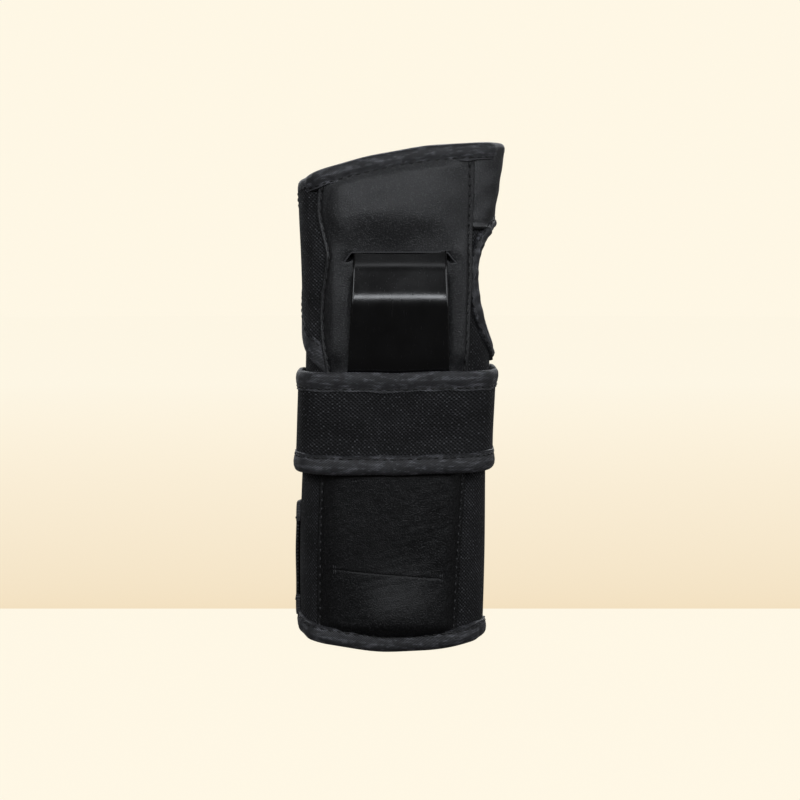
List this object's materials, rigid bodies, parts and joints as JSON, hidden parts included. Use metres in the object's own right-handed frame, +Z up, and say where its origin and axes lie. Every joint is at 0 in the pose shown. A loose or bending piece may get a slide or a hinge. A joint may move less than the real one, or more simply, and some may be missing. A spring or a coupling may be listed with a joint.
{
  "type": "wrist guard",
  "caption": "Padded wrist guard with a bent palm splint, a thumb hole and hook-and-loop straps that open along the little-finger side.",
  "frame": {"origin": "middle of the cuff's rim, on the ground plane, centred on the guard's own box", "axes": "+Z up the forearm to the fingers, -Y the palm side, +X the thumb side, -X the little-finger side where it opens"},
  "size_m": [0.078, 0.0615, 0.1892],
  "materials": {
    "lining": "brushed knit",
    "foam": "matte closed-cell foam",
    "mesh_cloth": "woven mesh",
    "tape": "twill tape",
    "leather": "satin grained synthetic leather",
    "splint_plastic": "gloss",
    "loop_pile": "brushed loop pile",
    "hook_pile": "moulded hooks",
    "strap_patch": "smooth coated cloth"
  },
  "bodies": {
    "sleeve": {"palm_lining": "lining", "palm_foam": "foam", "palm_mesh": "mesh_cloth", "palm_cuff_binding": "tape", "palm_top_binding": "tape", "palm_thumb_binding": "tape", "opening_piping": "tape", "palm_splint": "splint_plastic", "palm_pad": "foam", "palm_panel": "leather", "forearm_pad": "foam", "forearm_panel": "leather", "thumb_patch_palm": "leather", "top_strap_anchor": "mesh_cloth", "bottom_strap_anchor": "mesh_cloth", "palm_band": "mesh_cloth", "palm_band_binding": "tape"},
    "back_flap": {"back_lining": "lining", "back_foam": "foam", "back_splint": "splint_plastic", "back_mesh": "mesh_cloth", "loop_panel": "loop_pile", "back_cuff_binding": "tape", "back_top_binding": "tape", "back_thumb_binding": "tape", "flap_piping": "tape", "thumb_patch_back": "leather", "middle_strap_turn": "mesh_cloth", "middle_strap_turn_binding": "tape"},
    "top_strap": {"top_strap_root": "mesh_cloth", "top_strap_root_binding": "tape"},
    "top_tab": {"top_strap_tab": "mesh_cloth", "top_strap_tab_binding": "tape", "top_strap_hook": "hook_pile"},
    "bottom_strap": {"bottom_strap_root": "mesh_cloth", "bottom_strap_root_binding": "tape"},
    "bottom_tab": {"bottom_strap_tab": "mesh_cloth", "bottom_strap_tab_binding": "tape", "bottom_strap_hook": "hook_pile"},
    "middle_strap": {"middle_strap": "mesh_cloth", "middle_strap_binding": "tape", "middle_patch": "strap_patch"},
    "middle_tab": {"middle_strap_tab": "mesh_cloth", "middle_strap_tab_binding": "tape", "middle_strap_hook": "hook_pile", "middle_patch_tab": "strap_patch"}
  },
  "joints": [
    {"name": "back_flap_hinge", "type": "hinge", "parent": "sleeve", "child": "back_flap", "pos_m": [0.0396, 0.00361, 0.095], "axis": [0, 0, -1], "range_deg": [0, 40]},
    {"name": "top_strap_peel", "type": "hinge", "parent": "sleeve", "child": "top_strap", "pos_m": [-0.041, 0.00361, 0.15], "axis": [0, 0, 1], "range_deg": [0, 128]},
    {"name": "bottom_strap_peel", "type": "hinge", "parent": "sleeve", "child": "bottom_strap", "pos_m": [-0.0396, 0.00361, 0.03], "axis": [0, 0, 1], "range_deg": [0, 128]},
    {"name": "top_tab_peel", "type": "hinge", "parent": "top_strap", "child": "top_tab", "pos_m": [-0.011, 0.0306, 0.15], "axis": [0, 0, 1], "range_deg": [0, 75]},
    {"name": "bottom_tab_peel", "type": "hinge", "parent": "bottom_strap", "child": "bottom_tab", "pos_m": [-0.011, 0.0318, 0.03], "axis": [0, 0, 1], "range_deg": [0, 75]},
    {"name": "middle_strap_peel", "type": "hinge", "parent": "back_flap", "child": "middle_strap", "pos_m": [0.0234, 0.0312, 0.086], "axis": [0, 0, -1], "range_deg": [0, 110]},
    {"name": "middle_tab_peel", "type": "hinge", "parent": "middle_strap", "child": "middle_tab", "pos_m": [-0.005, 0.0318, 0.086], "axis": [0, 0, -1], "range_deg": [0, 75]}
  ],
  "couplings": [
    {"joint": "top_strap_peel", "follows": "back_flap_hinge", "ratio": 3.2},
    {"joint": "bottom_strap_peel", "follows": "back_flap_hinge", "ratio": 3.2}
  ]
}
